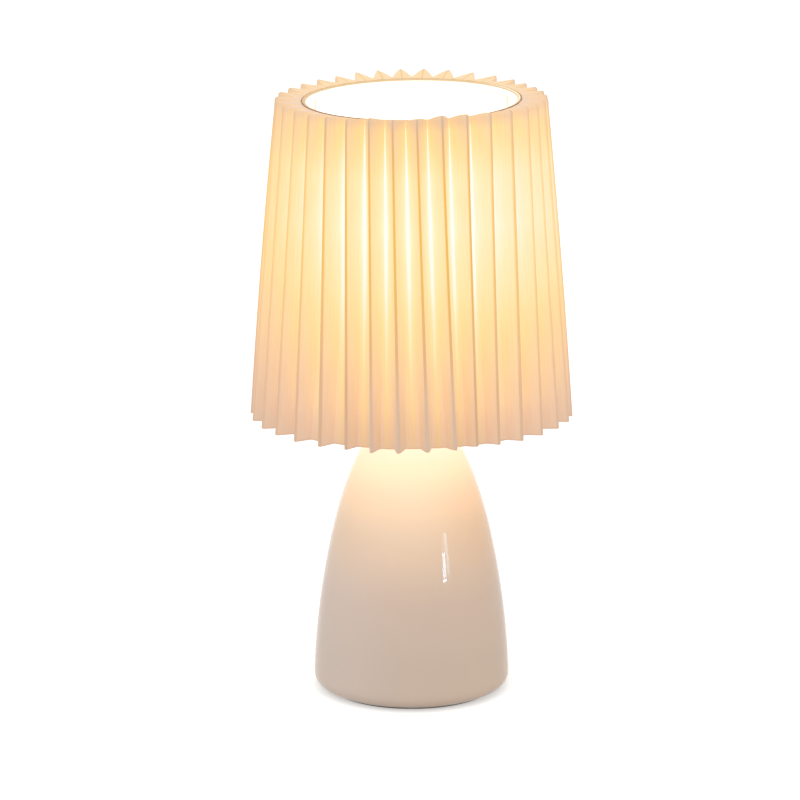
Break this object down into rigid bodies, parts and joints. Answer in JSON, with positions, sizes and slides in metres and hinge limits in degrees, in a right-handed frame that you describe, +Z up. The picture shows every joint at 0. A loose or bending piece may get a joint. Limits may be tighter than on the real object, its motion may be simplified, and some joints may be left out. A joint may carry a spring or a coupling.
{
  "type": "table lamp",
  "caption": "Small bedside lamp: a swelling glazed base carries a screw lampholder, a candle bulb and a tapered shade of pleated cloth that folds over round an open top.",
  "frame": {"origin": "centre of the round resting face, on the lamp's upright axis", "axes": "+Z up the lamp's axis, -Y towards the front, +Y towards the cord grommet"},
  "size_m": [0.1798, 0.1796, 0.3375],
  "materials": {
    "glaze": "high gloss white glaze",
    "felt": "pressed felt",
    "zinc_steel": "zinc plated",
    "pale_rubber": "matte",
    "white_paint": "satin",
    "holder_plastic": "satin moulded",
    "porcelain": "glazed",
    "contact_brass": "bright",
    "shade_cloth": "satin woven, pleated",
    "rim_cloth": "woven tape",
    "white_wire": "powder coated",
    "solder": "dull",
    "black_glass": "glossy",
    "nickel": "bright rolled",
    "bulb_plastic": "moulded",
    "board": "lacquered",
    "led_phosphor": "satin",
    "lit_globe": "frosted, lit"
  },
  "bodies": {
    "base": {"base_shell": "glaze", "base_pad": "felt", "bottom_plate": "zinc_steel", "cord_grommet": "pale_rubber", "threaded_rod": "zinc_steel", "rod_washer": "zinc_steel", "rod_nut": "zinc_steel", "neck_gasket": "pale_rubber", "neck_cap": "white_paint", "holder_cap": "holder_plastic", "holder_body": "holder_plastic", "holder_insulator": "porcelain", "terminal_screws": "contact_brass", "screw_shell": "contact_brass", "centre_contact": "contact_brass"},
    "shade": {"shade_cover": "shade_cloth", "rim_tape": "rim_cloth", "top_ring": "white_wire", "bottom_ring": "white_wire", "frame_struts": "white_wire", "fitter_ring": "white_wire", "fitter_arms": "white_wire"},
    "ring": {"shade_ring": "holder_plastic"},
    "bulb": {"bulb_contact": "solder", "bulb_insulator": "black_glass", "bulb_cap": "nickel", "bulb_housing": "bulb_plastic", "led_board": "board", "led_chips": "led_phosphor", "bulb_globe": "lit_globe"}
  },
  "joints": [
    {"name": "shade_lift", "type": "slide", "parent": "base", "child": "shade", "axis": [0, 0, 1], "range_m": [0, 0.125]},
    {"name": "ring_unscrew", "type": "slide", "parent": "shade", "child": "ring", "axis": [0, 0, 1], "range_m": [0, 0.12]},
    {"name": "bulb_unscrew", "type": "slide", "parent": "base", "child": "bulb", "axis": [0, 0, 1], "range_m": [0, 0.155]}
  ]
}
